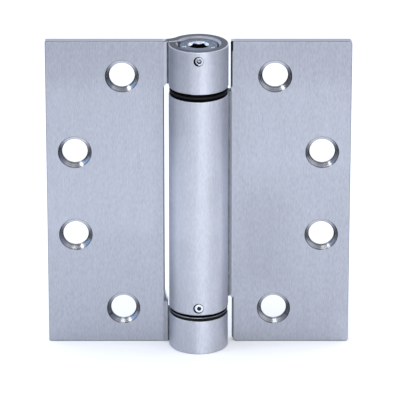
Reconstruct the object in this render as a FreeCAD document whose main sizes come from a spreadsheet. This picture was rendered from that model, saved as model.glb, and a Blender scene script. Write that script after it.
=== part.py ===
import FreeCAD, Part
import math
import os

import PartDesign
import Sketcher
from FreeCAD import Placement, Rotation, Vector

# A single-acting spring hinge, opened flat. +Z runs up the pin line, the origin is on that
# line at the bottom of the hinge, +X points to the barrel leaf and the leaves' countersunk
# faces look along -Y. Millimetres.

os.makedirs("parts", exist_ok=True)
doc = FreeCAD.newDocument("spring_hinge")

# ---------------------------------------------------------------- the driving sizes
SIZES = [
    ("leaf_height", 114.3, "height of both leaves"),
    ("leaf_reach", 54.0, "pin line to a leaf's outer edge"),
    ("leaf_front", 1.7, "countersunk face, behind the pin line"),
    ("plate", 3.4, "plate thickness"),
    ("barrel_r", 10.55, "outside radius of barrel and knuckles"),
    ("bend_r", 4.8, "inside radius of the bend from leaf to barrel"),
    ("seam_gap", 0.3, "gap where the rolled edge meets the leaf"),
    ("edge_break", 0.3, "rounded edges of the barrel's and knuckles' ends"),
    ("seam_lip", 0.45, "rounded edge of the roll beside the seam"),
    ("leaf_break", 0.3, "broken edges round the leaves"),
    ("mouth_break", 0.85, "chamfer at the top knuckle's mouth"),
    ("knuckle_low_top", 12.7, "top of the bottom knuckle"),
    ("barrel_low", 15.0, "bottom of the barrel"),
    ("barrel_high", 95.9, "top of the barrel"),
    ("knuckle_high_low", 98.65, "bottom of the top knuckle"),
    ("slit_edge", 12.15, "left leaf: notch edge from the pin line"),
    ("slit_tab", 15.8, "left leaf: top of the tab beside the bottom knuckle"),
    ("slit_tab_top", 19.2, "left leaf: where the tab's slope starts"),
    ("slit_tab_x", 11.15, "left leaf: where the tab's slope ends"),
    ("slit_clear", 10.95, "left leaf: tab's edge beside the barrel"),
    ("notch_high", 11.3, "right leaf: upper notch edge"),
    ("notch_low", 12.0, "right leaf: lower notch edge"),
    ("notch_low_top", 17.7, "right leaf: top of the lower notch"),
    ("notch_clear", 10.65, "right leaf: lower notch beside the barrel"),
    ("foot_chamfer", 1.2, "right leaf: chamfered inner foot"),
    ("corner_left", 0.5, "left leaf: corner radius"),
    ("corner_right", 1.1, "right leaf: corner radius"),
    ("hole_r", 4.5, "screw hole radius"),
    ("rim_r", 6.0, "countersink radius"),
    ("sink_depth", 1.65, "countersink depth"),
    ("relief_depth", 1.0, "depth of the relief at the hole's back"),
    ("relief_r", 5.2, "radius of the relief at the hole's back"),
    ("col_in", 27.0, "inner holes from the pin line"),
    ("col_out", 43.9, "outer holes from the pin line"),
    ("span_outer", 88.5, "spacing of the top and bottom holes"),
    ("span_inner", 31.4, "spacing of the two middle holes"),
    ("lock_z", 111.0, "height of the tension pin"),
    ("lock_hole_r", 1.72, "tension pin hole radius"),
    ("anchor_z", 17.75, "height of the anchor pin"),
    ("anchor_hole_r", 1.85, "anchor pin hole radius"),
    ("fit_gap", 0.05, "clearance of the inner parts in the bores"),
    ("journal_r", 4.5, "radius of both journals"),
    ("run_gap", 0.06, "running clearance of the journals"),
    ("washer_in", 4.7, "inner radius of every washer"),
    ("plug_top", 113.7, "face of the adjusting plug"),
    ("plug_low", 98.75, "underside of the plug's head"),
    ("plug_shank_low", 88.0, "bottom of the plug's journal"),
    ("plug_end", 80.0, "bottom of the plug's forked end"),
    ("fork_r", 3.2, "radius of the forked ends"),
    ("fork_slot", 3.1, "width of the slots for the spring's tangs"),
    ("plug_slot_top", 86.8, "top of the plug's slot"),
    ("hex_flats", 6.0, "hex socket across flats"),
    ("hex_depth", 7.0, "hex socket depth"),
    ("hex_mouth", 0.8, "bevel at the socket's mouth"),
    ("lock_holes", 8, "number of radial holes in the plug"),
    ("lock_hole_in", 4.3, "inner end of the radial holes"),
    ("dimple_r", 0.42, "radius of the two stake marks"),
    ("dimple_edge", 0.22, "bevel round the stake marks"),
    ("dimple_x", 5.0, "stake marks from the pin line"),
    ("dimple_y", 2.2, "left stake mark towards the front"),
    ("dimple_y2", 2.9, "right stake mark towards the front"),
    ("dimple_depth", 0.45, "depth of the stake marks"),
    ("anchor_low", 15.4, "bottom of the spring anchor"),
    ("anchor_top", 26.0, "shoulder of the spring anchor"),
    ("anchor_end", 33.6, "top of the anchor's forked end"),
    ("anchor_slot_low", 26.7, "bottom of the anchor's slot"),
    ("anchor_bore_r", 5.62, "bore for the lower bush"),
    ("anchor_bore_top", 24.6, "top of that bore"),
    ("low_bush_r", 5.58, "outside radius of the lower bush"),
    ("low_bush_low", 15.05, "bottom of the lower bush"),
    ("low_bush_top", 24.3, "top of the lower bush"),
    ("high_bush_low", 88.4, "bottom of the upper bush"),
    ("high_bush_top", 95.86, "top of the upper bush"),
    ("pintle_low", 0.5, "underside of the pintle"),
    ("pintle_head", 12.66, "shoulder of the pintle"),
    ("pintle_top", 24.0, "top of the pintle's journal"),
    ("wire_r", 1.35, "spring wire radius"),
    ("coil_r", 5.3, "mean radius of the spring"),
    ("coil_turns", 18, "turns of the spring, counted from tang to tang"),
    ("coil_low", 29.4, "lowest coil's centre"),
    ("coil_high", 84.4, "highest coil's centre"),
    ("hook_r", 1.6, "bend radius of the spring's ends"),
    ("hook_reach", 3.4, "tang beyond the pin line"),
    ("lock_pin_r", 1.42, "tension pin radius"),
    ("lock_pin_sheet", 0.25, "sheet of the coiled pin"),
    ("lock_pin_pitch", 0.28, "pitch of the coiled pin's turns"),
    ("lock_pin_curl", 0.68, "radius where the coiled pin's inner end curls in"),
    ("lock_pin_out", 10.42, "outer end of the tension pin"),
    ("lock_pin_in", 5.0, "inner end of the tension pin"),
    ("anchor_pin_r", 1.6, "anchor pin radius"),
    ("anchor_pin_bore", 0.78, "anchor pin's inner radius"),
    ("pin_break", 0.15, "chamfer at the anchor pin's outer end"),
    ("anchor_pin_out", 10.45, "outer end of the anchor pin"),
    ("anchor_pin_in", 5.75, "inner end of the anchor pin"),
    ("lock_pin_side", 0.22, "tension pin, to the right in its hole"),
    ("anchor_pin_side", 0.22, "anchor pin, to the right in its hole"),
    # washers, each from its underside to its top, with its outside radius
    ("hwa_low", 95.93, "upper nylon washer on the barrel"),
    ("hwa_top", 96.9, ""),
    ("hwa_r", 10.2, ""),
    ("hwb_low", 96.92, "upper steel washer"),
    ("hwb_top", 97.52, ""),
    ("hwb_r", 10.35, ""),
    ("hwc_low", 97.54, "upper nylon washer under the knuckle"),
    ("hwc_top", 98.6, ""),
    ("hwc_r", 10.2, ""),
    ("lwa_low", 12.73, "thrust washer on the bottom knuckle"),
    ("lwa_top", 13.72, ""),
    ("lwa_r", 10.3, ""),
    ("lwb_low", 13.74, "lower steel washer"),
    ("lwb_top", 14.04, ""),
    ("lwb_r", 10.4, ""),
    ("lwc_low", 14.06, "lower nylon washer under the barrel"),
    ("lwc_top", 14.96, ""),
    ("lwc_r", 10.15, ""),
]

sheet = doc.addObject("Spreadsheet::Sheet", "Sizes")
for row, (alias, number, note) in enumerate(SIZES, 1):
    sheet.set("A%d" % row, note or alias)
    sheet.set("B%d" % row, str(number))
    sheet.setAlias("B%d" % row, alias)
doc.recompute()


class Q:
    """A size: its number now, and the expression that binds it to the sheet."""

    def __init__(self, value, text=None):
        self.v = float(value)
        self.e = text if text is not None else repr(float(value))

    def _with(self, other, sign, value):
        other = other if isinstance(other, Q) else Q(other)
        return Q(value(self.v, other.v), "(%s %s %s)" % (self.e, sign, other.e))

    def __add__(self, o):
        return self._with(o, "+", lambda a, b: a + b)

    def __sub__(self, o):
        return self._with(o, "-", lambda a, b: a - b)

    def __mul__(self, o):
        return self._with(o, "*", lambda a, b: a * b)

    def __truediv__(self, o):
        return self._with(o, "/", lambda a, b: a / b)

    def __neg__(self):
        return Q(-self.v, "(0 - %s)" % self.e)


D = {alias: Q(sheet.get(alias), "Sizes." + alias) for alias, number, note in SIZES}
ZERO = Q(0.0, "0")
HALF_HEIGHT = D["leaf_height"] / 2
BORE_R = D["barrel_r"] - D["plate"]


# ---------------------------------------------------------------- helpers
def plane(body, role):
    for feature in body.Origin.OriginFeatures:
        if feature.Role == role:
            return feature
    raise RuntimeError("no plane " + role)


def new_body(name):
    body = doc.addObject("PartDesign::Body", name)
    body.Label = name
    return body


def new_sketch(body, name, role, along=None):
    """A sketch on one of the body's own planes, moved along the plane's normal by `along`."""
    sk = body.newObject("Sketcher::SketchObject", name)
    sk.AttachmentSupport = [(plane(body, role), "")]
    sk.MapMode = "FlatFace"
    if along is not None:
        sk.AttachmentOffset = Placement(Vector(0, 0, along.v), Rotation())
        sk.setExpression("AttachmentOffset.Base.z", along.e)
    return sk


def bind(sk, kind, args, size):
    index = sk.addConstraint(Sketcher.Constraint(kind, *(list(args) + [size.v])))
    sk.setExpression("Constraints[%d]" % index, size.e)


def pin_point(sk, geo, pos, x, y):
    """Fixes a point of the sketch at (x, y)."""
    if x.v == 0:
        sk.addConstraint(Sketcher.Constraint("PointOnObject", geo, pos, -2))
    else:
        bind(sk, "DistanceX", (-1, 1, geo, pos), x)
    if y.v == 0:
        sk.addConstraint(Sketcher.Constraint("PointOnObject", geo, pos, -1))
    else:
        bind(sk, "DistanceY", (-1, 1, geo, pos), y)


def polygon(sk, points):
    count = len(points)
    lines = []
    for i in range(count):
        (ax, ay), (bx, by) = points[i], points[(i + 1) % count]
        line = Part.LineSegment(Vector(ax.v, ay.v, 0), Vector(bx.v, by.v, 0))
        lines.append(sk.addGeometry(line, False))
    for i in range(count):
        sk.addConstraint(
            Sketcher.Constraint("Coincident", lines[i], 2, lines[(i + 1) % count], 1)
        )
    for i in range(count):
        pin_point(sk, lines[i], 1, *points[i])


def circle(sk, x, y, radius):
    geo = sk.addGeometry(
        Part.Circle(Vector(x.v, y.v, 0), Vector(0, 0, 1), radius.v), False
    )
    pin_point(sk, geo, 3, x, y)
    bind(sk, "Radius", (geo,), radius)


def solid_volume(body):
    doc.recompute()
    return body.Shape.Volume


def pocket(body, sk, length=None, both=False, reverse=False, taper=None):
    """Cuts the sketch out of the body, and checks that it did cut."""
    before = solid_volume(body)
    cut = body.newObject("PartDesign::Pocket", sk.Name + "_cut")
    cut.Profile = sk
    if length is None:
        cut.Type = "ThroughAll"
    else:
        cut.Type = "Length"
        cut.Length = length.v
        cut.setExpression("Length", length.e)
    if both:
        cut.SideType = "Symmetric"
    cut.Reversed = reverse
    if taper is not None:
        cut.TaperAngle = taper.v
        cut.setExpression("TaperAngle", taper.e)
    sk.Visibility = False
    after = solid_volume(body)
    if not after < before - 1e-6:
        raise RuntimeError("%s cut nothing" % cut.Name)
    return cut


def taper_of(wide, narrow, depth):
    """The angle of a cone's side, from its two radii and its depth."""
    return Q(
        -math.degrees(math.atan((wide.v - narrow.v) / depth.v)),
        "-1 * atan((%s - %s) / %s)" % (wide.e, narrow.e, depth.e),
    )


def pick_edges(shape, test):
    return ["Edge%d" % (i + 1) for i, e in enumerate(shape.Edges) if test(e)]


def dress(body, kind, name, edges, size):
    """A fillet or chamfer on the body's last shape."""
    tip = body.Tip
    dressed = body.newObject(kind, name)
    dressed.Base = (tip, edges)
    prop = "Radius" if kind.endswith("Fillet") else "Size"
    setattr(dressed, prop, size.v)
    dressed.setExpression(prop, size.e)
    doc.recompute()
    if dressed.State and any(s in ("Invalid", "Error") for s in dressed.State):
        raise RuntimeError(name + " failed")
    return dressed


# ---------------------------------------------------------------- the two rolled leaves
def leaf_section(body, name, side):
    """The leaf's cross-section: the flat plate, the bend behind the barrel, and the roll that
    comes round the front to meet the leaf's face in an open seam. side is -1 left, +1 right."""
    sk = new_sketch(body, name, "XY_Plane")
    front, back = D["leaf_front"].v, D["leaf_front"].v + D["plate"].v
    outer, inner, bend = D["barrel_r"].v, BORE_R.v, D["bend_r"].v
    reach = D["leaf_reach"].v
    bend_y = back + bend
    bend_x = math.sqrt((outer + bend) ** 2 - bend_y**2)
    end_y = front - D["seam_gap"].v
    end_in = math.sqrt(inner**2 - end_y**2)
    end_out = math.sqrt(outer**2 - end_y**2)
    up = Vector(0, 0, 1)
    o = Vector(0, 0, 0)
    bend_c = Vector(side * bend_x, bend_y, 0)
    turn = math.atan2(bend_y, bend_x)  # direction from the pin line to the bend's centre

    def arc(centre, radius, a, b):
        return Part.ArcOfCircle(Part.Circle(centre, up, radius), a, b)

    half_pi = math.pi / 2
    if side < 0:
        meet = math.pi - turn
        close = math.pi - math.asin(end_y / inner)
        close_out = math.pi - math.asin(end_y / outer)
        # round the front, the right and the back, anticlockwise from the seam
        roll_in = arc(o, inner, close - 2 * math.pi, meet)
        roll_out = arc(o, outer, close_out - 2 * math.pi, meet)
        bend_in = arc(bend_c, bend + D["plate"].v, -half_pi, -turn)
        bend_out = arc(bend_c, bend, -half_pi, -turn)
        seam_pos, meet_pos, flat_pos, turn_pos = 1, 2, 1, 2
    else:
        meet = turn
        close = math.asin(end_y / inner) + 2 * math.pi
        close_out = math.asin(end_y / outer) + 2 * math.pi
        roll_in = arc(o, inner, meet, close)
        roll_out = arc(o, outer, meet, close_out)
        bend_in = arc(bend_c, bend + D["plate"].v, math.pi + turn, 3 * half_pi)
        bend_out = arc(bend_c, bend, math.pi + turn, 3 * half_pi)
        seam_pos, meet_pos, flat_pos, turn_pos = 2, 1, 2, 1

    x_end = side * reach
    g_front = sk.addGeometry(
        Part.LineSegment(Vector(x_end, front, 0), Vector(side * bend_x, front, 0))
    )
    g_bend_in = sk.addGeometry(bend_in)
    g_roll_in = sk.addGeometry(roll_in)
    g_end = sk.addGeometry(
        Part.LineSegment(
            Vector(side * end_in, end_y, 0), Vector(side * end_out, end_y, 0)
        )
    )
    g_roll_out = sk.addGeometry(roll_out)
    g_bend_out = sk.addGeometry(bend_out)
    g_back = sk.addGeometry(
        Part.LineSegment(Vector(side * bend_x, back, 0), Vector(x_end, back, 0))
    )
    g_edge = sk.addGeometry(
        Part.LineSegment(Vector(x_end, back, 0), Vector(x_end, front, 0))
    )
    add = lambda *a: sk.addConstraint(Sketcher.Constraint(*a))
    add("Tangent", g_front, 2, g_bend_in, flat_pos)
    add("Tangent", g_bend_in, turn_pos, g_roll_in, meet_pos)
    add("Coincident", g_roll_in, seam_pos, g_end, 1)
    add("Coincident", g_end, 2, g_roll_out, seam_pos)
    add("Tangent", g_roll_out, meet_pos, g_bend_out, turn_pos)
    add("Tangent", g_bend_out, flat_pos, g_back, 1)
    add("Coincident", g_back, 2, g_edge, 1)
    add("Coincident", g_edge, 2, g_front, 1)
    add("Coincident", g_roll_in, 3, -1, 1)
    add("Coincident", g_roll_out, 3, -1, 1)
    add("Coincident", g_bend_in, 3, g_bend_out, 3)
    add("Horizontal", g_front)
    add("Horizontal", g_end)
    add("Vertical", g_edge)
    bind(sk, "DistanceY", (-1, 1, g_front, 1), D["leaf_front"])
    bind(sk, "DistanceX", (-1, 1, g_front, 1), D["leaf_reach"] * side)
    bind(sk, "DistanceY", (g_edge, 2, g_edge, 1), D["plate"])
    bind(sk, "Radius", (g_roll_out,), D["barrel_r"])
    bind(sk, "Radius", (g_bend_out,), D["bend_r"])
    bind(sk, "DistanceY", (-1, 1, g_end, 1), D["leaf_front"] - D["seam_gap"])
    return sk


def pad_leaf(name, side):
    body = new_body(name)
    sk = leaf_section(body, name + "_section", side)
    pad = body.newObject("PartDesign::Pad", name + "_pad")
    pad.Profile = sk
    pad.Length = D["leaf_height"].v
    pad.setExpression("Length", D["leaf_height"].e)
    sk.Visibility = False
    doc.recompute()
    if body.Shape.isNull() or not body.Shape.isValid():
        raise RuntimeError(name + " section failed")
    return body


def screw_holes(body, name, side):
    """Four countersunk holes in a zigzag: the outer pair near the barrel, the middle pair
    near the edge. Each has a cone in front, a straight land and a relief at the back."""
    places = [
        (D["col_in"] * side, HALF_HEIGHT + D["span_outer"] / 2),
        (D["col_out"] * side, HALF_HEIGHT + D["span_inner"] / 2),
        (D["col_out"] * side, HALF_HEIGHT - D["span_inner"] / 2),
        (D["col_in"] * side, HALF_HEIGHT - D["span_outer"] / 2),
    ]
    # the XZ plane's normal is -Y, so y = +d is an offset of -d
    through = new_sketch(body, name + "_holes", "XZ_Plane")
    for x, z in places:
        circle(through, x, z, D["hole_r"])
    pocket(body, through, both=True)
    sink = new_sketch(body, name + "_sinks", "XZ_Plane", -D["leaf_front"])
    for x, z in places:
        circle(sink, x, z, D["rim_r"])
    pocket(
        body,
        sink,
        length=D["sink_depth"],
        taper=taper_of(D["rim_r"], D["hole_r"], D["sink_depth"]),
    )
    relief = new_sketch(
        body, name + "_reliefs", "XZ_Plane", -(D["leaf_front"] + D["plate"])
    )
    for x, z in places:
        circle(relief, x, z, D["relief_r"])
    pocket(
        body,
        relief,
        length=D["relief_depth"],
        reverse=True,
        taper=taper_of(D["relief_r"], D["hole_r"], D["relief_depth"]),
    )


def radial_hole(body, name, height, radius, start=None, reverse=True):
    """A hole that runs out through the front, from the pin line or from `start` outwards."""
    sk = new_sketch(body, name, "XZ_Plane", start)
    circle(sk, ZERO, height, radius)
    return pocket(body, sk, reverse=reverse)


FAR = Q(80.0)
OVER = Q(5.0)

# left leaf: the space for the barrel is cut out of the roll, with a tab at its lower corner
knuckle_leaf = pad_leaf("knuckle_leaf", -1)
sk = new_sketch(knuckle_leaf, "barrel_space", "XZ_Plane")
corner = Q(0.9)
polygon(
    sk,
    [
        (-D["slit_edge"], D["slit_tab_top"]),
        (-D["slit_tab_x"], D["slit_tab"]),
        (-D["slit_clear"], D["slit_tab"]),
        (-D["slit_clear"], D["knuckle_low_top"]),
        (D["barrel_r"] + OVER, D["knuckle_low_top"]),
        (D["barrel_r"] + OVER, D["knuckle_high_low"]),
        (-(D["slit_edge"] - corner), D["knuckle_high_low"]),
        (-D["slit_edge"], D["knuckle_high_low"] - corner),
    ],
)
pocket(knuckle_leaf, sk, both=True)
screw_holes(knuckle_leaf, "left", -1)
radial_hole(knuckle_leaf, "lock_hole", D["lock_z"], D["lock_hole_r"])

# right leaf: both ends of the roll are cut away, so that only the barrel is left
barrel_leaf = pad_leaf("barrel_leaf", 1)
sk = new_sketch(barrel_leaf, "upper_notch", "XZ_Plane")
polygon(
    sk,
    [
        (D["notch_high"], D["barrel_high"]),
        (D["notch_high"], D["leaf_height"] + OVER),
        (-(D["barrel_r"] + OVER), D["leaf_height"] + OVER),
        (-(D["barrel_r"] + OVER), D["barrel_high"]),
    ],
)
pocket(barrel_leaf, sk, both=True)
sk = new_sketch(barrel_leaf, "lower_notch", "XZ_Plane")
polygon(
    sk,
    [
        (D["notch_low"] + D["foot_chamfer"], -OVER),
        (D["notch_low"] + D["foot_chamfer"], Q(0.0001)),
        (D["notch_low"], D["foot_chamfer"] * 1.4),
        (D["notch_low"], D["notch_low_top"] - Q(0.7)),
        (D["notch_low"] - Q(0.7), D["notch_low_top"]),
        (D["notch_clear"], D["notch_low_top"]),
        (D["notch_clear"], D["barrel_low"]),
        (-(D["barrel_r"] + OVER), D["barrel_low"]),
        (-(D["barrel_r"] + OVER), -OVER),
    ],
)
pocket(barrel_leaf, sk, both=True)
# the rolled edge's lower corner is clipped
sk = new_sketch(barrel_leaf, "roll_corner", "YZ_Plane")
polygon(
    sk,
    [
        (-Q(1.6), D["barrel_low"] - Q(1.0)),
        (-Q(1.6), D["barrel_low"]),
        (D["leaf_front"], D["barrel_low"] + Q(1.4)),
        (D["leaf_front"], D["barrel_low"] - Q(1.0)),
    ],
)
pocket(barrel_leaf, sk, reverse=True)
screw_holes(barrel_leaf, "right", 1)
radial_hole(barrel_leaf, "anchor_hole", D["anchor_z"], D["anchor_hole_r"])


def on_plane(edge, axis, value, tol=1e-4):
    box = edge.BoundBox
    lo, hi = getattr(box, axis + "Min"), getattr(box, axis + "Max")
    return abs(lo - value) < tol and abs(hi - value) < tol


def corner_edges(shape, x):
    """The short edges through the plate at its two outer corners."""

    def test(e):
        b = e.BoundBox
        ends = (0.0, D["leaf_height"].v)
        return (
            abs(b.XMin - x) < 1e-4
            and abs(b.XMax - x) < 1e-4
            and b.ZMax - b.ZMin < 1e-4
            and min(abs(b.ZMin - z) for z in ends) < 1e-4
            and b.YMax - b.YMin > 1
        )

    return pick_edges(shape, test)


dress(
    knuckle_leaf,
    "PartDesign::Fillet",
    "left_corners",
    corner_edges(knuckle_leaf.Shape, -D["leaf_reach"].v),
    D["corner_left"],
)
dress(
    barrel_leaf,
    "PartDesign::Fillet",
    "right_corners",
    corner_edges(barrel_leaf.Shape, D["leaf_reach"].v),
    D["corner_right"],
)


def curve_of(edge):
    """The edge's curve, or None for an edge that has none."""
    try:
        return edge.Curve
    except TypeError:
        return None


def curve_radius(edge):
    return getattr(curve_of(edge), "Radius", 0.0)


def roll_ends(levels):
    """The outer arcs of the rolls, at the given heights."""

    def test(e):
        b = e.BoundBox
        level = any(
            abs(b.ZMin - z) < 1e-4 and abs(b.ZMax - z) < 1e-4 for z in levels
        )
        return level and abs(curve_radius(e) - D["barrel_r"].v) < 1e-4

    return test


def seam_lips(body):
    """The long edges where the roll's end meets its outside, beside the seam."""
    end_y = D["leaf_front"].v - D["seam_gap"].v
    end_x = math.sqrt(D["barrel_r"].v ** 2 - end_y**2)

    def test(e):
        b = e.BoundBox
        return (
            b.ZMax - b.ZMin > 2
            and b.XMax - b.XMin < 1e-4
            and abs(abs(b.XMin) - end_x) < 1e-3
            and abs(b.YMin - end_y) < 1e-3
        )

    return pick_edges(body.Shape, test)


for body in (knuckle_leaf, barrel_leaf):
    dress(body, "PartDesign::Fillet", body.Name + "_lip", seam_lips(body), D["seam_lip"])
dress(
    knuckle_leaf,
    "PartDesign::Fillet",
    "knuckle_edges",
    pick_edges(
        knuckle_leaf.Shape,
        roll_ends(
            [
                0.0,
                D["knuckle_low_top"].v,
                D["knuckle_high_low"].v,
                D["leaf_height"].v,
            ]
        ),
    ),
    D["edge_break"],
)
dress(
    barrel_leaf,
    "PartDesign::Fillet",
    "barrel_edges",
    pick_edges(
        barrel_leaf.Shape, roll_ends([D["barrel_low"].v, D["barrel_high"].v])
    ),
    D["edge_break"],
)


# ---------------------------------------------------------------- turned pieces
def turned(name, profile):
    """A solid of revolution about the pin line. profile is (radius, height) points."""
    body = new_body(name)
    sk = new_sketch(body, name + "_profile", "XZ_Plane")
    polygon(sk, profile)
    rev = body.newObject("PartDesign::Revolution", name + "_turn")
    rev.Profile = sk
    rev.ReferenceAxis = (sk, ["V_Axis"])
    rev.Angle = 360
    sk.Visibility = False
    doc.recompute()
    return body


def ring(name, inside, outside, low, top):
    cut = Q(0.12)
    return turned(
        name,
        [
            (inside, low),
            (outside - cut, low),
            (outside, low + cut),
            (outside, top - cut),
            (outside - cut, top),
            (inside, top),
        ],
    )


# the top knuckle's mouth is chamfered all round
mouth = new_sketch(knuckle_leaf, "mouth", "XZ_Plane")
polygon(
    mouth,
    [
        (BORE_R - Q(1.0), D["leaf_height"] - D["mouth_break"]),
        (BORE_R, D["leaf_height"] - D["mouth_break"]),
        (BORE_R + D["mouth_break"], D["leaf_height"]),
        (BORE_R + D["mouth_break"], D["leaf_height"] + Q(1.0)),
        (BORE_R - Q(1.0), D["leaf_height"] + Q(1.0)),
    ],
)
before = solid_volume(knuckle_leaf)
groove = knuckle_leaf.newObject("PartDesign::Groove", "mouth_cut")
groove.Profile = mouth
groove.ReferenceAxis = (mouth, ["V_Axis"])
groove.Angle = 360
mouth.Visibility = False
if not solid_volume(knuckle_leaf) < before - 1e-6:
    raise RuntimeError("the mouth's chamfer cut nothing")

# adjusting plug: head with a hex socket and radial holes, journal, forked end
bore_fit = BORE_R - D["fit_gap"]
edge = Q(0.5)
tension_plug = turned(
    "tension_plug",
    [
        (ZERO, D["plug_end"]),
        (D["fork_r"] - edge, D["plug_end"]),
        (D["fork_r"], D["plug_end"] + edge),
        (D["fork_r"], D["plug_shank_low"]),
        (D["journal_r"], D["plug_shank_low"]),
        (D["journal_r"], D["plug_low"]),
        (bore_fit, D["plug_low"]),
        (bore_fit, D["plug_top"] - edge),
        (bore_fit - edge, D["plug_top"]),
        (D["hex_flats"] / 2 + D["hex_mouth"], D["plug_top"]),
        (D["hex_flats"] / 2, D["plug_top"] - D["hex_mouth"]),
        (ZERO, D["plug_top"] - D["hex_mouth"]),
    ],
)
half_flats = D["hex_flats"] / 2
tip = D["hex_flats"] / Q(math.sqrt(3.0))
sk = new_sketch(tension_plug, "socket", "XY_Plane", D["plug_top"] - D["hex_mouth"] * 0.5)
polygon(
    sk,
    [
        (tip, ZERO),
        (tip / 2, half_flats),
        (-(tip / 2), half_flats),
        (-tip, ZERO),
        (-(tip / 2), -half_flats),
        (tip / 2, -half_flats),
    ],
)
pocket(tension_plug, sk, length=D["hex_depth"])
sk = new_sketch(tension_plug, "stake_marks", "XY_Plane", D["plug_top"])
circle(sk, -D["dimple_x"], -D["dimple_y"], D["dimple_r"])
circle(sk, D["dimple_x"], -D["dimple_y2"], D["dimple_r"])
pocket(tension_plug, sk, length=D["dimple_depth"])
dress(
    tension_plug,
    "PartDesign::Chamfer",
    "stake_mark_edges",
    pick_edges(
        tension_plug.Shape,
        lambda e: curve_radius(e) > 0
        and abs(curve_radius(e) - D["dimple_r"].v) < 1e-4
        and on_plane(e, "Z", D["plug_top"].v),
    ),
    D["dimple_edge"],
)
sk = new_sketch(tension_plug, "tang_slot", "XZ_Plane")
half_slot = D["fork_slot"] / 2
polygon(
    sk,
    [
        (-half_slot, D["plug_end"] - Q(1.0)),
        (half_slot, D["plug_end"] - Q(1.0)),
        (half_slot, D["plug_slot_top"]),
        (-half_slot, D["plug_slot_top"]),
    ],
)
pocket(tension_plug, sk, both=True)
first = radial_hole(
    tension_plug, "lock_socket", D["lock_z"], D["lock_hole_r"], start=D["lock_hole_in"]
)
before = solid_volume(tension_plug)
ring_of_holes = tension_plug.newObject("PartDesign::PolarPattern", "lock_sockets")
ring_of_holes.Originals = [first]
ring_of_holes.Axis = (plane(tension_plug, "Z_Axis"), [""])
ring_of_holes.Angle = 360
ring_of_holes.Occurrences = int(D["lock_holes"].v)
ring_of_holes.setExpression("Occurrences", D["lock_holes"].e)
tension_plug.Tip = ring_of_holes
if not solid_volume(tension_plug) < before - 1e-6:
    raise RuntimeError("the ring of holes cut nothing")

# spring anchor, pinned in the barrel's lower end
spring_anchor = turned(
    "spring_anchor",
    [
        (D["anchor_bore_r"], D["anchor_low"]),
        (bore_fit, D["anchor_low"]),
        (bore_fit, D["anchor_top"]),
        (D["fork_r"], D["anchor_top"]),
        (D["fork_r"], D["anchor_end"] - edge),
        (D["fork_r"] - edge, D["anchor_end"]),
        (ZERO, D["anchor_end"]),
        (ZERO, D["anchor_bore_top"]),
        (D["anchor_bore_r"], D["anchor_bore_top"]),
    ],
)
sk = new_sketch(spring_anchor, "anchor_slot", "XZ_Plane")
polygon(
    sk,
    [
        (-half_slot, D["anchor_slot_low"]),
        (half_slot, D["anchor_slot_low"]),
        (half_slot, D["anchor_end"] + Q(1.0)),
        (-half_slot, D["anchor_end"] + Q(1.0)),
    ],
)
pocket(spring_anchor, sk, both=True)
radial_hole(spring_anchor, "anchor_socket", D["anchor_z"], D["anchor_hole_r"])

# pintle, pressed into the bottom knuckle
pintle = turned(
    "pintle",
    [
        (ZERO, D["pintle_low"] + Q(0.9)),
        (Q(1.1), D["pintle_low"]),
        (bore_fit - edge, D["pintle_low"]),
        (bore_fit, D["pintle_low"] + edge),
        (bore_fit, D["pintle_head"]),
        (D["journal_r"], D["pintle_head"]),
        (D["journal_r"], D["pintle_top"] - edge),
        (D["journal_r"] - edge, D["pintle_top"]),
        (ZERO, D["pintle_top"]),
    ],
)

bush_in = D["journal_r"] + D["run_gap"]
upper_bush = ring(
    "upper_bush", bush_in, bore_fit, D["high_bush_low"], D["high_bush_top"]
)
lower_bush = ring(
    "lower_bush", bush_in, D["low_bush_r"], D["low_bush_low"], D["low_bush_top"]
)

washers = [
    ring(node, D["washer_in"], D[key + "_r"], D[key + "_low"], D[key + "_top"])
    for node, key in (
        ("upper_nylon_washer_low", "hwa"),
        ("upper_steel_washer", "hwb"),
        ("upper_nylon_washer_top", "hwc"),
        ("lower_thrust_washer", "lwa"),
        ("lower_steel_washer", "lwb"),
        ("lower_nylon_washer", "lwc"),
    )
]

# anchor pin: a hollow pin, driven in from the barrel's front
anchor_pin = new_body("anchor_pin")
sk = new_sketch(anchor_pin, "anchor_pin_ring", "XZ_Plane", D["anchor_pin_in"])
circle(sk, D["anchor_pin_side"], D["anchor_z"], D["anchor_pin_r"])
circle(sk, D["anchor_pin_side"], D["anchor_z"], D["anchor_pin_bore"])
pad = anchor_pin.newObject("PartDesign::Pad", "anchor_pin_pad")
pad.Profile = sk
pad.Length = D["anchor_pin_out"].v - D["anchor_pin_in"].v
pad.setExpression("Length", (D["anchor_pin_out"] - D["anchor_pin_in"]).e)
sk.Visibility = False
doc.recompute()
dress(
    anchor_pin,
    "PartDesign::Chamfer",
    "anchor_pin_ends",
    pick_edges(
        anchor_pin.Shape,
        lambda e: abs(curve_radius(e) - D["anchor_pin_r"].v) < 1e-4
        and on_plane(e, "Y", -D["anchor_pin_out"].v),
    ),
    D["pin_break"],
)


# ---------------------------------------------------------------- broken edges
def straight(body, y, test):
    """The straight edges of a leaf's front or back face that pass the test."""

    def wanted(e):
        b = e.BoundBox
        line = getattr(curve_of(e), "TypeId", "") == "Part::GeomLine"
        return line and e.Length > 0.5 and on_plane(e, "Y", y) and test(b)

    return pick_edges(body.Shape, wanted)


def upright(x):
    return lambda b: abs(b.XMin - x) < 1e-3 and abs(b.XMax - x) < 1e-3


front_y, back_y = D["leaf_front"].v, D["leaf_front"].v + D["plate"].v
ROUND = "PartDesign::Fillet"
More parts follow.
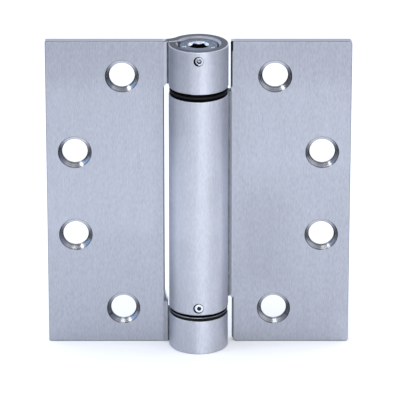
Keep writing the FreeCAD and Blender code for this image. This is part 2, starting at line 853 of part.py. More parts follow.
# the left leaf's back outline is rounded along with its knuckles' ends
edges = straight(knuckle_leaf, front_y, upright(-D["leaf_reach"].v))
dress(knuckle_leaf, ROUND, "left_front_outline", edges, D["leaf_break"])
for name, y in (("slit_front", front_y), ("slit_back", back_y)):
    edges = straight(knuckle_leaf, y, upright(-D["slit_edge"].v))
    dress(knuckle_leaf, ROUND, name, edges, D["leaf_break"])
edges = []
for y in (front_y, back_y):
    edges += straight(barrel_leaf, y, lambda b: True)
dress(barrel_leaf, ROUND, "right_outline", edges, D["leaf_break"])
# the bend starts at the upper notch, so its upright edges lie a hair off the leaf's faces
notch = upright(D["notch_high"].v)
edges = pick_edges(
    barrel_leaf.Shape, lambda e: e.Length > 5 and notch(e.BoundBox) and e.BoundBox.ZMax > 100
)
dress(barrel_leaf, ROUND, "notch_edges", edges, D["leaf_break"])


# ---------------------------------------------------------------- coiled pin and spring
def coiled_section(sheet_t, radii):
    """The end view of a strip rolled up on itself, drawn with half circles of these radii,
    whose centres change sides. In the XY plane, round the origin."""
    outer, inner = [], []
    side, shift = 1, 0.0
    for i, r in enumerate(radii):
        centre = Vector(shift, 0, 0)
        start = 0.0 if side > 0 else math.pi
        for store, rr in ((outer, r), (inner, r - sheet_t)):
            ends = [
                centre + Vector(rr * math.cos(a), rr * math.sin(a), 0)
                for a in (start, start + math.pi / 2, start + math.pi)
            ]
            store.append(Part.Arc(*ends).toShape())
        if i + 1 < len(radii):
            shift -= side * (r - radii[i + 1])
        side = -side
    first_out, first_in = outer[0].Vertexes[0].Point, inner[0].Vertexes[0].Point
    last_out, last_in = outer[-1].Vertexes[-1].Point, inner[-1].Vertexes[-1].Point
    edges = (
        outer
        + inner
        + [
            Part.LineSegment(last_out, last_in).toShape(),
            Part.LineSegment(first_in, first_out).toShape(),
        ]
    )
    wire = Part.Wire(Part.__sortEdges__(edges))
    if not wire.isClosed():
        raise RuntimeError("the coiled pin's section is open")
    return Part.Face(wire)


# the tension pin, driven in from the top knuckle's front
step = D["lock_pin_pitch"].v / 2
pin_r, curl_r = D["lock_pin_r"].v, D["lock_pin_curl"].v
section = coiled_section(
    D["lock_pin_sheet"].v,
    [pin_r, pin_r - step, pin_r - 2 * step, curl_r, curl_r - 2 * step],
)
length = D["lock_pin_out"].v - D["lock_pin_in"].v
pin_shape = section.extrude(Vector(0, 0, length))
tension_pin = doc.addObject("Part::Feature", "tension_pin")
tension_pin.Label = "tension_pin"
tension_pin.Shape = pin_shape
# the section's own axis is turned to run from the front towards the pin line
tension_pin.Placement = Placement(
    Vector(D["lock_pin_side"].v, -D["lock_pin_in"].v, D["lock_z"].v),
    Rotation(Vector(1, 0, 0), 90).multiply(Rotation(Vector(0, 0, 1), -105)),
)


def spring_shape():
    """A torsion spring wound left-handed, with both ends hooked in to lie across the pin line."""
    r, rw, rb = D["coil_r"].v, D["wire_r"].v, D["hook_r"].v
    z0, z1, turns = D["coil_low"].v, D["coil_high"].v, D["coil_turns"].v
    reach = D["hook_reach"].v
    hook_x = math.sqrt((r - rb) ** 2 - rb**2)
    lean = math.atan2(rb, hook_x)  # the hook's bend is a right angle and this much
    turns -= lean / math.pi  # both hooks take their share, so the tangs lie parallel
    pitch = (z1 - z0) / turns
    helix = Part.makeHelix(pitch, z1 - z0, r)
    slope = math.atan2(pitch, 2 * math.pi * r)
    start = Vector(r, 0, 0)
    tangent = Vector(0, math.cos(slope), math.sin(slope))
    ring_edge = Part.Circle(start, tangent, rw).toShape()
    coil = Part.Wire(helix.Edges).makePipeShell([Part.Wire([ring_edge])], True, True)
    bend = math.degrees(math.pi / 2 + lean)

    def hook(at, leaving, inward):
        face = Part.Face(Part.Wire([Part.Circle(at, leaving, rw).toShape()]))
        centre = at + inward * rb
        axis = leaving.cross(inward)
        elbow = face.revolve(centre, axis, bend)
        turn = Rotation(axis, bend)
        end = centre + turn.multVec(at - centre)
        away = turn.multVec(leaving)
        away.normalize()
        straight = Part.makeCylinder(rw, hook_x + reach, end, away)
        return [elbow, straight]

    pieces = hook(start, tangent * -1, Vector(-1, 0, 0))
    angle = 2 * math.pi * turns
    out = Vector(math.cos(angle), math.sin(angle), 0)
    end = out * r + Vector(0, 0, z1 - z0)
    end_tangent = Vector(
        -math.sin(angle) * math.cos(slope),
        math.cos(angle) * math.cos(slope),
        math.sin(slope),
    )
    pieces += hook(end, end_tangent, out * -1)
    whole = coil.fuse(pieces)
    if len(whole.Solids) != 1:
        raise RuntimeError("the spring is %d solids" % len(whole.Solids))
    solid = whole.Solids[0]
    solid = solid.mirror(Vector(0, 0, 0), Vector(1, 0, 0))  # winds left-handed
    print(
        "spring volume %.1f, coil by section times length %.1f"
        % (
            solid.Volume,
            math.pi * rw**2 * turns * math.hypot(2 * math.pi * r, pitch),
        )
    )
    return solid, 90 + math.degrees(lean)


torsion_spring = doc.addObject("Part::Feature", "torsion_spring")
torsion_spring.Label = "torsion_spring"
torsion_spring.Shape, spring_turn = spring_shape()
# turned so that both tangs run along Y, in their slots
torsion_spring.Placement = Placement(
    Vector(0, 0, D["coil_low"].v), Rotation(Vector(0, 0, 1), -spring_turn)
)

# ---------------------------------------------------------------- check and write
doc.recompute()
for obj in doc.Objects:
    if any(word in ("Invalid", "Error") for word in obj.State):
        raise RuntimeError("%s is %s" % (obj.Name, obj.State))
pieces = [
    knuckle_leaf,
    barrel_leaf,
    tension_plug,
    tension_pin,
    anchor_pin,
    torsion_spring,
    spring_anchor,
    pintle,
    upper_bush,
    lower_bush,
] + washers
for obj in pieces:
    shape = obj.Shape
    if shape.isNull() or not shape.isValid():
        raise RuntimeError(obj.Label + " has no valid shape")
    if len(shape.Solids) != 1:
        raise RuntimeError("%s is %d solids" % (obj.Label, len(shape.Solids)))
for obj in pieces:
    obj.Shape.exportStep("parts/%s.step" % obj.Label)
    b = obj.Shape.BoundBox
    print(
        "%-24s %9.1f mm3  x %.2f..%.2f  y %.2f..%.2f  z %.2f..%.2f"
        % (
            obj.Label,
            obj.Shape.Volume,
            b.XMin,
            b.XMax,
            b.YMin,
            b.YMax,
            b.ZMin,
            b.ZMax,
        )
    )
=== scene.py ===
import math

import bpy
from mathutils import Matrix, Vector

# A single-acting spring hinge in satin metal, opened flat and standing on its lower end.
# Metres. +Z runs up the pin line, +X points to the barrel leaf, -Y to the viewer.

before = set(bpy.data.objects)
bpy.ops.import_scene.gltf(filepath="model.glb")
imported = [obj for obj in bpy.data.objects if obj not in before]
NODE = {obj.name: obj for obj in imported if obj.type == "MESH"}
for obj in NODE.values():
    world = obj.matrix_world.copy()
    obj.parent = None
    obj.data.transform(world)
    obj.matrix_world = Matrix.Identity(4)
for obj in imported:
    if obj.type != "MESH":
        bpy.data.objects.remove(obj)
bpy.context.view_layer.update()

# ------------------------------------------------------------------ sizes used by the looks
MID = 57.15  # half the leaf height, mm
HOLE_IN = (27.0, 44.25)  # |x| and |z - MID| of the screw holes near the barrel, mm
HOLE_OUT = (43.9, 15.7)  # and of those near the edge


# ------------------------------------------------------------------ node helpers
class Tree:
    """Builds one material's nodes, with short names for what is used often."""

    def __init__(self, name):
        self.mat = bpy.data.materials.new(name)
        self.mat.use_nodes = True
        self.nt = self.mat.node_tree
        self.make_shader()

    def make_shader(self):
        self.nt.nodes.clear()
        self.out = self.nt.nodes.new("ShaderNodeOutputMaterial")
        self.bsdf = self.nt.nodes.new("ShaderNodeBsdfPrincipled")
        self.link(self.bsdf.outputs[0], self.out.inputs["Surface"])
        self.coord = self.nt.nodes.new("ShaderNodeTexCoord").outputs["Object"]
        scaled = self.nt.nodes.new("ShaderNodeVectorMath")
        scaled.operation = "SCALE"
        self.link(self.coord, scaled.inputs[0])
        scaled.inputs["Scale"].default_value = 1000.0
        self.mm = scaled.outputs[0]  # place in the hinge, in mm
        split = self.nt.nodes.new("ShaderNodeSeparateXYZ")
        self.link(self.mm, split.inputs[0])
        self.x, self.y, self.z = split.outputs[0], split.outputs[1], split.outputs[2]

    def link(self, a, b):
        self.nt.links.new(a, b)

    def put(self, socket, value):
        if hasattr(value, "is_linked"):
            self.link(value, socket)
        else:
            socket.default_value = value

    def set(self, name, value):
        self.put(self.bsdf.inputs[name], value)

    def math(self, op, a, b=None, c=None, clamp=False):
        n = self.nt.nodes.new("ShaderNodeMath")
        n.operation = op
        n.use_clamp = clamp
        self.put(n.inputs[0], a)
        if b is not None:
            self.put(n.inputs[1], b)
        if c is not None:
            self.put(n.inputs[2], c)
        return n.outputs[0]

    def add(self, a, b):
        return self.math("ADD", a, b)

    def sub(self, a, b):
        return self.math("SUBTRACT", a, b)

    def mul(self, a, b):
        return self.math("MULTIPLY", a, b)

    def ramp(self, value, lo, hi, a=0.0, b=1.0, smooth=True):
        n = self.nt.nodes.new("ShaderNodeMapRange")
        n.interpolation_type = "SMOOTHSTEP" if smooth else "LINEAR"
        self.put(n.inputs["Value"], value)
        n.inputs["From Min"].default_value = lo
        n.inputs["From Max"].default_value = hi
        n.inputs["To Min"].default_value = a
        n.inputs["To Max"].default_value = b
        return n.outputs["Result"]

    def vec(self, x, y, z):
        n = self.nt.nodes.new("ShaderNodeCombineXYZ")
        self.put(n.inputs[0], x)
        self.put(n.inputs[1], y)
        self.put(n.inputs[2], z)
        return n.outputs[0]

    def stretch(self, sx, sy, sz, vector=None):
        n = self.nt.nodes.new("ShaderNodeVectorMath")
        n.operation = "MULTIPLY"
        self.link(vector or self.mm, n.inputs[0])
        n.inputs[1].default_value = (sx, sy, sz)
        return n.outputs[0]

    def noise(self, vector, scale=1.0, detail=2.0, rough=0.5, seed=0.0):
        n = self.nt.nodes.new("ShaderNodeTexNoise")
        n.noise_dimensions = "4D"
        self.link(vector, n.inputs["Vector"])
        n.inputs["W"].default_value = seed
        n.inputs["Scale"].default_value = scale
        n.inputs["Detail"].default_value = detail
        n.inputs["Roughness"].default_value = rough
        return n.outputs["Fac"]

    def radius(self, x, y, cx=0.0, cy=0.0):
        dx, dy = self.sub(x, cx), self.sub(y, cy)
        return self.math("SQRT", self.add(self.mul(dx, dx), self.mul(dy, dy)))

    def mix(self, fac, a, b):
        """Mixes two colours."""
        n = self.nt.nodes.new("ShaderNodeMix")
        n.data_type = "RGBA"
        self.put(n.inputs["Factor"], fac)
        for name, value in (("A", a), ("B", b)):
            sock = [s for s in n.inputs if s.name == name and s.type == "RGBA"][0]
            if hasattr(value, "is_linked"):
                self.link(value, sock)
            else:
                sock.default_value = (*value, 1.0)
        return [s for s in n.outputs if s.type == "RGBA"][0]

    def shade(self, colour, amount):
        """A colour times a number."""
        n = self.nt.nodes.new("ShaderNodeVectorMath")
        n.operation = "SCALE"
        if hasattr(colour, "is_linked"):
            self.link(colour, n.inputs[0])
        else:
            n.inputs[0].default_value = colour
        self.put(n.inputs["Scale"], amount)
        return n.outputs[0]

    def bump(self, height, strength, distance):
        n = self.nt.nodes.new("ShaderNodeBump")
        n.inputs["Strength"].default_value = strength
        n.inputs["Distance"].default_value = distance
        self.link(height, n.inputs["Height"])
        self.link(n.outputs[0], self.bsdf.inputs["Normal"])

    def facing(self):
        """How far the surface faces along y and z, either way, and up, in the hinge's frame."""
        geo = self.nt.nodes.new("ShaderNodeNewGeometry")
        turn = self.nt.nodes.new("ShaderNodeVectorTransform")
        turn.vector_type = "NORMAL"
        turn.convert_from, turn.convert_to = "WORLD", "OBJECT"
        self.link(geo.outputs["True Normal"], turn.inputs[0])
        split = self.nt.nodes.new("ShaderNodeSeparateXYZ")
        self.link(turn.outputs[0], split.inputs[0])
        return (
            self.math("ABSOLUTE", split.outputs[1]),
            self.math("ABSOLUTE", split.outputs[2]),
            split.outputs[2],
        )

    def within(self, value, lo, hi, soft=0.1):
        """1 between lo and hi, and 0 outside, over a soft edge."""
        return self.mul(
            self.ramp(value, lo - soft, lo + soft), self.ramp(value, hi - soft, hi + soft, 1.0, 0.0)
        )

    def grain(self, seed=0.0):
        """Brushed grain up and down the piece, around 0, for flat and rolled faces alike."""
        fine = self.noise(self.stretch(2.8, 2.8, 0.62), 1.0, 2.0, 0.55, seed)
        long = self.noise(self.stretch(1.6, 1.6, 0.09), 1.0, 3.0, 0.6, seed + 3)
        broad = self.noise(self.stretch(0.35, 0.35, 0.02), 1.0, 2.0, 0.5, seed + 6)
        parts = self.add(
            self.mul(self.sub(fine, 0.5), 1.1), self.mul(self.sub(long, 0.5), 0.3)
        )
        return self.add(parts, self.mul(self.sub(broad, 0.5), 0.15))


class Sky(Tree):
    """The same short names for the nodes of the studio's surroundings."""

    def __init__(self, world):
        world.use_nodes = True
        self.nt = world.node_tree
        self.light = self.nt.nodes["Background"]
        coord = self.nt.nodes.new("ShaderNodeTexCoord").outputs["Generated"]
        split = self.nt.nodes.new("ShaderNodeSeparateXYZ")
        self.link(coord, split.inputs[0])
        self.x, self.y, self.z = split.outputs[0], split.outputs[1], split.outputs[2]


# ------------------------------------------------------------------ satin leaves
SATIN = (0.36, 0.378, 0.431)
ROLLED = (0.36, 0.375, 0.417)  # a shade less blue


def satin_leaf(name, seam_side, seam_dark, painted_bands):
    """Brushed satin plate, rolled part and countersinks. seam_side is the side of the pin line
    on which the roll's end comes back to the plate. bands are strips of painted shade on its
    front, and of painted highlight where how dark is below 0, as (from x, to x, from z, to z, soft
    edge, how dark), in mm and with x to that side."""
    t = Tree(name)
    ax = t.math("ABSOLUTE", t.x)
    az = t.math("ABSOLUTE", t.sub(t.z, MID))
    d = t.math(
        "MINIMUM", t.radius(ax, az, *HOLE_IN), t.radius(ax, az, *HOLE_OUT)
    )
    in_hole = t.mul(t.ramp(d, 5.95, 6.05, 1.0, 0.0), t.ramp(t.y, 4.8, 5.0, 1.0, 0.0))
    grain = t.grain()
    cloud = t.noise(t.stretch(0.035, 0.035, 0.03), 1.0, 2.0, 0.5, 7.0)
    # the rolled part is a brighter finish than the plate, made brighter still by painted sheen, and
    # its ends are left darker
    face_y, face_z, up = t.facing()
    r = t.radius(t.x, t.y)
    rolled = t.ramp(r, 11.6, 12.6, 1.0, 0.0)
    level = t.add(
        1.0,
        t.add(t.mul(grain, 0.48), t.mul(t.sub(cloud, 0.5), 0.06)),
    )
    level = t.mul(level, t.add(1.0, t.mul(rolled, 0.32)))
    # painted shade: darker towards the top of the leaf, and on the roll towards its foot
    level = t.mul(level, t.ramp(t.z, 92.0, 114.0, 1.0, 0.96))
    level = t.mul(level, t.sub(1.0, t.mul(rolled, t.ramp(t.z, 10.0, 36.0, 0.08, 0.0))))
    # painted sheen: the barrel's shoulders are brighter half way up
    shoulder_sheen = t.mul(t.ramp(ax, 5.5, 9.4), t.within(t.z, 30.0, 72.0, 14.0))
    shoulder_sheen = t.mul(t.mul(shoulder_sheen, rolled), t.ramp(t.y, -4.0, 0.0, 1.0, 0.0))
    level = t.mul(level, t.add(1.0, t.mul(shoulder_sheen, 0.3)))
    sawn = t.mul(rolled, t.ramp(face_z, 0.93, 0.98))
    level = t.mul(level, t.sub(1.0, t.mul(sawn, 0.78)))
    # painted highlight on the rounded outer edge of the roll's ends
    rim_highlight = t.mul(t.mul(rolled, t.ramp(r, 10.6, 10.9)), t.within(face_z, 0.2, 0.9, 0.05))
    level = t.mul(level, t.add(1.0, t.mul(rim_highlight, 1.1)))
    # painted shade on the plate's broken edges, most at the notch and along the foot, on the
    # plates' top face, on the bore's wall beside the plug and in the joint round the plug
    plate = t.mul(t.within(t.y, 1.6, 5.2, 0.05), t.ramp(ax, 11.1, 11.25))
    edges = t.mul(plate, t.within(face_y, 0.12, 0.93, 0.03))
    level = t.mul(level, t.sub(1.0, t.mul(edges, 0.35)))
    notch = t.mul(edges, t.ramp(ax, 12.4, 12.6, 1.0, 0.0))
    foot = t.mul(edges, t.ramp(t.z, 0.35, 0.5, 1.0, 0.0))
    level = t.mul(level, t.sub(1.0, t.mul(t.math("MAXIMUM", notch, foot), 0.8)))
    # painted shade on the plates' top face
    top = t.mul(t.ramp(t.z, 114.1, 114.25), t.ramp(ax, 12.0, 13.0))
    level = t.mul(level, t.sub(1.0, t.mul(top, 0.34)))
    mouth = t.mul(t.within(r, 7.25, 8.1, 0.05), t.within(face_z, 0.5, 0.85, 0.05))
    level = t.mul(level, t.sub(1.0, t.mul(t.mul(mouth, t.ramp(t.z, 113.0, 113.2)), 0.4)))
    joint_shade = t.mul(t.within(r, 6.9, 7.3, 0.05), t.ramp(t.z, 113.75, 113.95, 0.7, 0.45))
    level = t.mul(level, t.sub(1.0, joint_shade))
    # painted shade on the walls of the two holes with a pin in them
    pin_hole = t.math("MAXIMUM", t.ramp(t.radius(t.x, t.z, 0.0, 111.0), 1.74, 1.78, 1.0, 0.0),
                      t.ramp(t.radius(t.x, t.z, 0.0, 17.75), 1.87, 1.91, 1.0, 0.0))
    pin_hole = t.mul(pin_hole, t.ramp(t.y, -7.3, -7.0, 1.0, 0.0))
    level = t.mul(level, t.sub(1.0, t.mul(pin_hole, 0.9)))
    # painted shade down in the seam where the roll meets the plate, uneven in patches
    along = t.mul(t.x, seam_side)
    seam = t.mul(t.within(along, 10.45, 11.15, 0.2), t.within(t.y, 0.6, 2.6, 0.3))
    patchy = t.noise(t.stretch(0.5, 0.5, 0.35), 1.0, 3.0, 0.6, 21.0)
    seam = t.mul(seam, t.ramp(patchy, 0.3, 0.6, 0.75, 1.0))
    level = t.mul(level, t.sub(1.0, t.mul(seam, seam_dark)))
    # painted shade along the strips that stand close to the other leaf's roll and in broad patches;
    # where how dark is below 0 the strip is painted highlight
    for lo, hi, low, high, soft, dark in painted_bands:
        band = t.mul(t.within(along, lo, hi, soft), t.within(t.z, low, high, max(soft, 0.5)))
        band = t.mul(band, t.ramp(t.y, 2.0, 2.4, 1.0, 0.0))
        level = t.mul(level, t.sub(1.0, t.mul(band, dark)))
    # turned rings in the countersinks
    ringvec = t.vec(t.mul(d, 4.0), t.mul(t.x, 0.25), t.mul(t.z, 0.25))
    rings = t.sub(t.noise(ringvec, 1.0, 3.0, 0.6, 11.0), 0.5)
    ring_level = t.add(0.8, t.mul(rings, 1.2))
    # painted shade lines at the inner and outer edge of each countersink
    rim_shade_lines = t.add(
        t.mul(t.within(d, 4.3, 4.8, 0.12), 0.5), t.mul(t.within(d, 5.72, 6.1, 0.1), 0.5)
    )
    ring_level = t.mul(ring_level, t.sub(1.0, rim_shade_lines))
    # painted light: the upper part of each countersink, facing down, is made brighter
    ring_level = t.mul(ring_level, t.ramp(up, -0.68, -0.25, 1.7, 1.0))
    satin = t.shade(t.mix(rolled, SATIN, ROLLED), level)
    base = t.mix(in_hole, satin, t.shade((0.37, 0.38, 0.41), ring_level))
    t.set("Base Color", base)
    # the ends stay dark seen along the surface too
    t.set("Specular Tint", t.mix(sawn, (1.0, 1.0, 1.0), (0.62, 0.64, 0.68)))
    plate_rough = t.add(t.add(0.36, t.mul(rolled, 0.1)), t.mul(grain, 0.2))
    hole_rough = t.add(0.2, t.mul(rings, 0.2))
    rough = t.add(
        t.mul(plate_rough, t.sub(1.0, in_hole)), t.mul(hole_rough, in_hole)
    )
    t.set("Roughness", rough)
    t.set("Metallic", 1.0)
    height = t.add(
        t.mul(grain, t.sub(1.0, in_hole)), t.mul(t.mul(rings, 3.0), in_hole)
    )
    t.bump(height, 0.3, 0.00003)
    return t.mat


# ------------------------------------------------------------------ turned steel
def turned(name, colour, rough=0.35, ring=6.0, depth=0.3):
    """Steel with rings round the pin line on its ends and round its sides."""
    t = Tree(name)
    r = t.radius(t.x, t.y)
    vec = t.vec(t.mul(r, ring), t.mul(t.z, ring), t.mul(t.x, 0.05))
    rings = t.sub(t.noise(vec, 1.0, 3.0, 0.6, 2.0), 0.5)
    spots = t.sub(t.noise(t.stretch(0.5, 0.5, 0.5), 1.0, 3.0, 0.6, 5.0), 0.5)
    level = t.add(1.0, t.add(t.mul(rings, depth), t.mul(spots, 0.12)))
    t.set("Base Color", t.shade(colour, level))
    t.set("Roughness", t.add(rough, t.mul(rings, 0.15)))
    t.set("Metallic", 1.0)
    t.bump(rings, 0.25, 0.00004)
    return t.mat


def plug_metal():
    t = Tree("plug_metal")
    r = t.radius(t.x, t.y)
    vec = t.vec(t.mul(r, 5.0), t.mul(t.z, 4.0), t.mul(t.x, 0.05))
    rings = t.sub(t.noise(vec, 1.0, 3.0, 0.6, 2.0), 0.5)
    spots = t.sub(t.noise(t.stretch(0.7, 0.7, 0.7), 1.0, 3.0, 0.6, 5.0), 0.5)
    level = t.add(1.05, t.add(t.mul(rings, 1.2), t.mul(spots, 1.6)))
    # painted shade round the edge of its face, beside the bore
    _, face_z, _ = t.facing()
    skirt_shade = t.mul(t.ramp(r, 6.65, 6.85), t.ramp(t.z, 113.0, 113.2))
    level = t.mul(level, t.sub(1.0, t.mul(skirt_shade, 0.7)))
    # painted highlight on the bevels at the socket's mouth and on the stake marks, and painted
    # shade on the socket's walls
    bevel_highlight = t.mul(t.within(face_z, 0.3, 0.93, 0.05), t.ramp(r, 6.5, 6.6, 1.0, 0.0))
    level = t.mul(level, t.add(1.0, t.mul(bevel_highlight, 2.4)))
    level = t.mul(level, t.ramp(face_z, 0.1, 0.2, 0.5, 1.0))
    t.set("Base Color", t.shade((0.15, 0.165, 0.195), level))
    t.set("Specular Tint", (0.55, 0.58, 0.64, 1.0))
    t.set("Roughness", t.add(0.26, t.mul(rings, 0.15)))
    t.set("Metallic", 1.0)
    t.bump(rings, 0.25, 0.00004)
    return t.mat


def pin_metal(name, height_mm):
    """Rolled strip: grain along the pin."""
    t = Tree(name)
    vec = t.vec(t.mul(t.x, 4.0), t.mul(t.y, 0.3), t.mul(t.z, 4.0))
    streak = t.sub(t.noise(vec, 1.0, 3.0, 0.6, height_mm), 0.5)
    t.set("Base Color", t.shade((0.72, 0.76, 0.84), t.add(1.0, t.mul(streak, 0.4))))
    t.set("Roughness", t.add(0.27, t.mul(streak, 0.2)))
    t.set("Metallic", 1.0)
    t.bump(streak, 0.2, 0.00003)
    return t.mat


def nylon(name, colour, rough=0.45):
    t = Tree(name)
    r = t.radius(t.x, t.y)
    vec = t.vec(t.mul(r, 3.0), t.mul(t.z, 5.0), t.mul(t.x, 0.1))
    rings = t.sub(t.noise(vec, 1.0, 3.0, 0.65, 4.0), 0.5)
    dust = t.ramp(t.noise(t.stretch(2.2, 2.2, 2.2), 1.0, 3.0, 0.6, 9.0), 0.6, 0.75)
    level = t.add(1.0, t.add(t.mul(rings, 0.8), t.mul(dust, 1.2)))
    t.set("Base Color", t.shade(colour, level))
    t.set("Roughness", t.add(rough, t.mul(rings, 0.15)))
    t.set("Specular IOR Level", 0.02)
    t.bump(rings, 0.3, 0.00004)
    return t.mat


def wire_metal():
    t = Tree("spring_wire")
    streak = t.sub(t.noise(t.stretch(1.5, 1.5, 4.0), 1.0, 4.0, 0.6, 1.0), 0.5)
    t.set("Base Color", t.shade((0.12, 0.12, 0.135), t.add(1.0, t.mul(streak, 0.6))))
    t.set("Roughness", t.add(0.38, t.mul(streak, 0.25)))
    t.set("Metallic", 1.0)
    t.bump(streak, 0.2, 0.00003)
    return t.mat


def sintered():
    """Grey sintered metal, full of fine pores."""
    t = Tree("sintered_bush")
    pores = t.noise(t.stretch(6.0, 6.0, 6.0), 1.0, 3.0, 0.6, 6.0)
    level = t.ramp(pores, 0.35, 0.6, 0.7, 1.05)
    t.set("Base Color", t.shade((0.22, 0.215, 0.205), level))
    t.set("Roughness", t.ramp(pores, 0.3, 0.7, 0.5, 0.35))
    t.set("Metallic", 1.0)
    t.bump(pores, 0.3, 0.00003)
    return t.mat


def give(node, mat):
    mesh = NODE[node].data
    mesh.materials.clear()
    mesh.materials.append(mat)


# strips of painted shade, and of painted highlight where the last column is below 0: (from x, to x,
# from z, to z, soft edge, how dark)
KNUCKLE_PAINTED_BANDS = (
    (12.2, 12.6, 20.0, 97.0, 0.12, 0.45),
    (11.3, 12.7, -2.0, 17.0, 0.5, 0.28),
    (11.0, 12.5, 15.6, 19.8, 0.12, 0.6),
    (-11.2, -10.4, -1.0, 12.4, 0.3, 0.4),
    (-11.2, -10.4, 99.0, 113.6, 0.3, 0.7),
    (-4.6, 0.4, -5.0, 12.8, 1.8, -0.15),
    (2.8, 8.5, -5.0, 12.8, 1.5, 0.06),
    (2.8, 10.2, 96.0, 118.0, 1.2, 0.13),
    (6.0, 10.2, 107.0, 118.0, 1.5, 0.06),
    (-5.0, -1.2, 96.0, 118.0, 1.0, -0.11),
    (15.0, 60.0, 42.0, 99.0, 3.5, -0.06),
)
BARREL_PAINTED_BANDS = (
    (10.8, 12.0, 97.5, 116.0, 0.1, 0.85),
    (10.8, 12.2, 110.8, 116.0, 0.1, 0.9),
    (11.8, 12.75, -2.0, 17.2, 0.15, 0.55),
    (11.1, 11.9, 18.0, 96.0, 0.12, 0.5),
    (14.0, 32.0, 22.0, 58.0, 8.0, 0.1),
    (-11.5, -3.2, 82.0, 102.0, 3.0, 0.08),
    (2.4, 8.6, 68.0, 102.0, 2.5, -0.08),
    (-12.0, -3.5, 14.0, 44.0, 3.0, 0.1),
    (-12.0, -7.5, 45.0, 56.0, 2.0, 0.08),
    (4.6, 7.8, 28.0, 46.0, 2.0, 0.06),
    (0.5, 3.5, 14.0, 24.0, 2.0, -0.07),
    (15.0, 60.0, 66.0, 99.0, 3.5, -0.05),
    (49.0, 60.0, -6.0, 11.0, 4.0, -0.09),
)
plain = turned("turned_steel", (0.45, 0.47, 0.51))
black = nylon("black_nylon", (0.0014, 0.0014, 0.0017), 0.6)
bushing = sintered()
for node, mat in (
    ("knuckle_leaf", satin_leaf("satin_knuckle_leaf", -1.0, 0.8, KNUCKLE_PAINTED_BANDS)),
    ("barrel_leaf", satin_leaf("satin_barrel_leaf", 1.0, 0.6, BARREL_PAINTED_BANDS)),
    ("tension_plug", plug_metal()),
    ("tension_pin", pin_metal("coiled_pin", 1.0)),
    ("anchor_pin", pin_metal("hollow_pin", 2.0)),
    ("upper_nylon_washer_top", black),
    ("upper_nylon_washer_low", black),
    ("lower_nylon_washer", black),
    ("upper_steel_washer", turned("dark_washer", (0.02, 0.021, 0.024), 0.5)),
    ("lower_steel_washer", turned("plain_washer", (0.22, 0.23, 0.25), 0.4)),
    ("lower_thrust_washer", nylon("grey_nylon", (0.009, 0.0095, 0.0105), 0.6)),
    ("torsion_spring", wire_metal()),
    ("spring_anchor", plain),
    ("pintle", plain),
    ("upper_bush", bushing),
    ("lower_bush", bushing),
):
    give(node, mat)

# ------------------------------------------------------------------ floor, light, camera
floor_mat = Tree("pale_floor")
tone = floor_mat.noise(floor_mat.stretch(0.004, 0.004, 0.004), 1.0, 2.0, 0.5)
pale = floor_mat.mix(tone, (0.93, 0.93, 0.93), (0.96, 0.96, 0.96))
# a shade darker well away on the front side, which dims the upper parts of the hinge
away = floor_mat.mul(
    floor_mat.ramp(floor_mat.radius(floor_mat.x, floor_mat.y), 215.0, 345.0),
    floor_mat.ramp(floor_mat.y, -150.0, 130.0, 1.0, 0.0),
)
# and out to the sides, which the flanks of the upper rolls mirror
aside = floor_mat.mul(
    floor_mat.ramp(floor_mat.math("ABSOLUTE", floor_mat.x), 120.0, 320.0),
    floor_mat.ramp(floor_mat.y, -60.0, 320.0, 1.0, 0.0),
)
level = floor_mat.mul(
    floor_mat.sub(1.0, floor_mat.mul(away, 0.28)), floor_mat.sub(1.0, floor_mat.mul(aside, 0.42))
)
floor_mat.set("Base Color", floor_mat.shade(pale, level))
floor_mat.set("Roughness", 0.9)
floor_mat.set("Specular IOR Level", 0.0)
bpy.ops.mesh.primitive_plane_add(size=12.0, location=(0, 0, -0.00005))
floor = bpy.context.object
floor.name = "floor"
floor.data.materials.append(floor_mat.mat)

scene = bpy.context.scene
world = bpy.data.worlds.new("studio")
scene.world = world
sky = Sky(world)
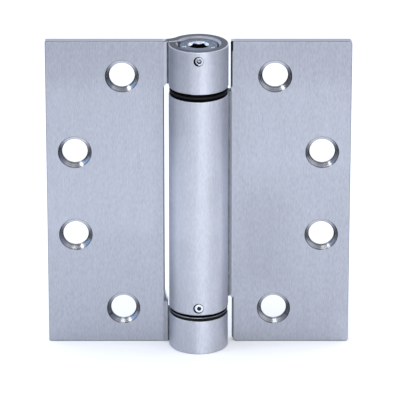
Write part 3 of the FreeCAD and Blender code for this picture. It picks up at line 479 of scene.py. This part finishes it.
# a soft light all round: brighter behind and at the sides, dimmer in front and overhead
side = sky.ramp(sky.math("ABSOLUTE", sky.x), 0.45, 0.8)
behind = sky.ramp(sky.y, 0.1, 0.6)
front = sky.mul(sky.ramp(sky.y, -0.1, -0.5), sky.ramp(sky.z, 0.0, 0.2))
over = sky.ramp(sky.z, 0.8, 0.97)
glow = sky.add(1.0, sky.mul(side, 0.35))
glow = sky.add(glow, sky.mul(behind, 0.35))
glow = sky.sub(glow, sky.mul(front, 0.25))
glow = sky.sub(glow, sky.mul(over, 0.3))
# with a bluer patch low on the left, which the countersinks mirror
blue = sky.mul(sky.ramp(sky.x, -0.6, -0.8), sky.within(sky.z, 0.17, 0.6, 0.08))
tint = sky.mix(blue, (0.965, 0.985, 1.06), (0.5, 0.8, 1.25))
sky.link(sky.shade(tint, glow), sky.light.inputs["Color"])
sky.light.inputs["Strength"].default_value = 1.12


def softbox(name, place, aim, size, power, size_y=None):
    data = bpy.data.lights.new(name, "AREA")
    data.energy = power
    data.shape = "RECTANGLE"
    data.size = size
    data.size_y = size_y or size
    obj = bpy.data.objects.new(name, data)
    bpy.context.collection.objects.link(obj)
    obj.location = place
    obj.rotation_euler = (
        (Vector(aim) - Vector(place)).to_track_quat("-Z", "Y").to_euler()
    )
    obj.visible_camera = False
    return obj


softbox("low_front", (-0.01, -0.16, 0.3), (-0.01, -0.16, 0), 0.12, 0.3)
softbox("left_high", (-0.7, -0.22, 0.95), (0, 0, 0.05), 0.24, 1.1)
softbox("strip", (0.46, -1.5, 0.12), (0, 0, 0.05), 0.46, 4.9, 0.22)

cam_data = bpy.data.cameras.new("camera")
cam = bpy.data.objects.new("camera", cam_data)
bpy.context.collection.objects.link(cam)
DISTANCE, ELEVATION, AIM_Z = 1.3, math.radians(21.25), 0.05535
cam.location = (
    0.0,
    -DISTANCE * math.cos(ELEVATION),
    AIM_Z + DISTANCE * math.sin(ELEVATION),
)
cam.rotation_euler = (
    (Vector((0, 0, AIM_Z)) - cam.location).to_track_quat("-Z", "Y").to_euler()
)
cam_data.sensor_width = 36.0
cam_data.lens = 36.0 * 3651.0 / 400.0
cam_data.shift_x = 1.46 / 400.0
cam_data.clip_start, cam_data.clip_end = 0.01, 50.0
scene.camera = cam

scene.view_settings.view_transform = "Standard"
scene.view_settings.look = "None"
scene.view_settings.exposure = 0.0
scene.view_settings.gamma = 1.0
